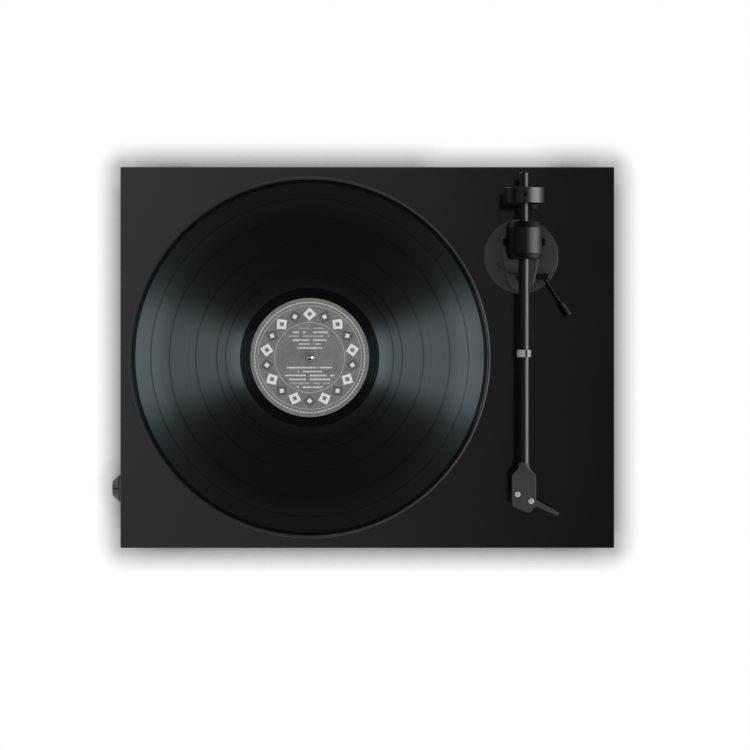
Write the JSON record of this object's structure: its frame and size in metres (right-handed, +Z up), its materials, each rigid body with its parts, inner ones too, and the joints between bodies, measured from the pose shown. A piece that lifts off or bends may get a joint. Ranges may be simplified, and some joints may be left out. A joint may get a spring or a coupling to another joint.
{
  "type": "turntable record player",
  "caption": "Belt-driven record player: slab plinth on feet, turning platter with a record, and a straight pivoted arm with lift lever and counterweight.",
  "frame": {"origin": "middle of the whole footprint, on the surface that the feet stand on", "axes": "+X to the right along the plinth's long side, +Y to the back where the connectors are, +Z up"},
  "size_m": [0.4278, 0.324, 0.108],
  "materials": {
    "plinth_lacquer": "satin black lacquer over a fibreboard slab",
    "black_sheet": "black powder coat on sheet steel",
    "steel_fastener": "zinc-plated steel",
    "polished_steel": "ground and polished steel",
    "black_moulding": "fine-grained black moulding",
    "rubber": "black rubber",
    "turned_aluminium": "turned aluminium",
    "bronze": "sintered bronze",
    "motor_steel": "plated steel",
    "board_green": "green solder mask",
    "bright_plating": "bright nickel plating",
    "jack_colour": "red and white insulators",
    "grey_satin": "dark grey satin anodised aluminium",
    "black_satin_metal": "satin black anodised aluminium",
    "dark_casting": "dark coated aluminium casting with a turned rim",
    "vinyl": "glossy black vinyl, grooved",
    "label_paper": "matt grey paper",
    "weight_steel": "satin black coated steel",
    "stylus_moulding": "dark moulding",
    "lead_colours": "four thin insulated leads: red, green, white and blue"
  },
  "bodies": {
    "base": {"plinth": "plinth_lacquer", "base_plate": "black_sheet", "countersunk_screws": "steel_fastener", "feet": "black_moulding", "foot_pads": "rubber", "foot_screws": "steel_fastener", "bearing_housing": "turned_aluminium", "bearing_bush": "bronze", "thrust_pad": "black_moulding", "motor_can": "motor_steel", "motor_plate": "motor_steel", "motor_grommets": "rubber", "motor_screws": "steel_fastener", "drive_belt": "rubber", "selector_switch": "black_moulding", "selector_nut": "steel_fastener", "board_standoffs": "steel_fastener", "control_board": "board_green", "board_components": "black_moulding", "connector_panel": "black_sheet", "panel_screws": "steel_fastener", "output_jacks": "bright_plating", "jack_insulators": "jack_colour", "ground_terminal": "bright_plating", "power_inlet": "black_moulding", "arm_base_disc": "grey_satin", "base_ring_nut": "turned_aluminium", "arm_base_body": "grey_satin", "swivel_pillar": "turned_aluminium", "swivel_bearings": "steel_fastener", "arm_rest": "black_moulding", "lift_cylinder": "black_satin_metal"},
    "turning_platter": {"main_spindle": "polished_steel", "drive_disc": "black_moulding", "platter": "dark_casting", "platter_mat": "rubber"},
    "record": {"vinyl_record": "vinyl", "record_labels": "label_paper"},
    "motor_rotor": {"motor_shaft": "polished_steel", "motor_pulley": "turned_aluminium"},
    "selector": {"selector_shaft": "polished_steel", "selector_knob": "black_satin_metal"},
    "arm_swivel": {"arm_yoke": "black_satin_metal", "pivot_screws": "steel_fastener"},
    "tonearm": {"bearing_barrel": "black_satin_metal", "arm_tube": "black_satin_metal", "weight_stub": "black_satin_metal", "tube_collar": "bright_plating", "headshell": "grey_satin", "cartridge_screws": "bright_plating", "cartridge_body": "black_moulding", "stylus_holder": "stylus_moulding", "stylus": "bright_plating", "cartridge_leads": "lead_colours"},
    "balance_weight": {"counterweight": "weight_steel", "weight_screw": "steel_fastener"},
    "lift_lever": {"lever_shaft": "black_satin_metal", "lever_rod": "black_satin_metal", "lever_knob": "black_moulding"},
    "lift": {"lift_bridge": "black_moulding"}
  },
  "joints": [
    {"name": "platter_spin", "type": "hinge", "parent": "base", "child": "turning_platter", "pos_m": [-0.0446, 0, 0.055], "axis": [0, 0, 1], "continuous": true},
    {"name": "motor_spin", "type": "hinge", "parent": "base", "child": "motor_rotor", "pos_m": [-0.12238, 0.07778, 0.055], "axis": [0, 0, 1], "continuous": true},
    {"name": "record_lift", "type": "slide", "parent": "turning_platter", "child": "record", "axis": [0, 0, 1], "range_m": [0, 0.03]},
    {"name": "arm_swing", "type": "hinge", "parent": "base", "child": "arm_swivel", "pos_m": [0.1344, 0.0965, 0.091], "axis": [0, 0, 1], "range_deg": [-47, 0]},
    {"name": "arm_tilt", "type": "hinge", "parent": "arm_swivel", "child": "tonearm", "pos_m": [0.1344, 0.0965, 0.091], "axis": [-1, 0, 0], "range_deg": [0, 2.47]},
    {"name": "weight_slide", "type": "slide", "parent": "tonearm", "child": "balance_weight", "axis": [0, 1, 0], "range_m": [-0.012, 0.012]},
    {"name": "lift_lever_turn", "type": "hinge", "parent": "base", "child": "lift_lever", "pos_m": [0.1344, 0.0685, 0.0547], "axis": [-1, 0, 0], "range_deg": [0, 50]},
    {"name": "lift_rise", "type": "slide", "parent": "base", "child": "lift", "axis": [0, 0, 1], "range_m": [0, 0.0012]},
    {"name": "selector_turn", "type": "hinge", "parent": "base", "child": "selector", "pos_m": [-0.2101, -0.1119, 0.03], "axis": [1, 0, 0], "range_deg": [-45, 45]}
  ],
  "couplings": [
    {"joint": "motor_spin", "follows": "platter_spin", "ratio": 10},
    {"joint": "lift_lever_turn", "follows": "lift_rise", "rad_per_m": 727.22},
    {"joint": "arm_tilt", "follows": "lift_rise", "rad_per_m": 35.714}
  ]
}
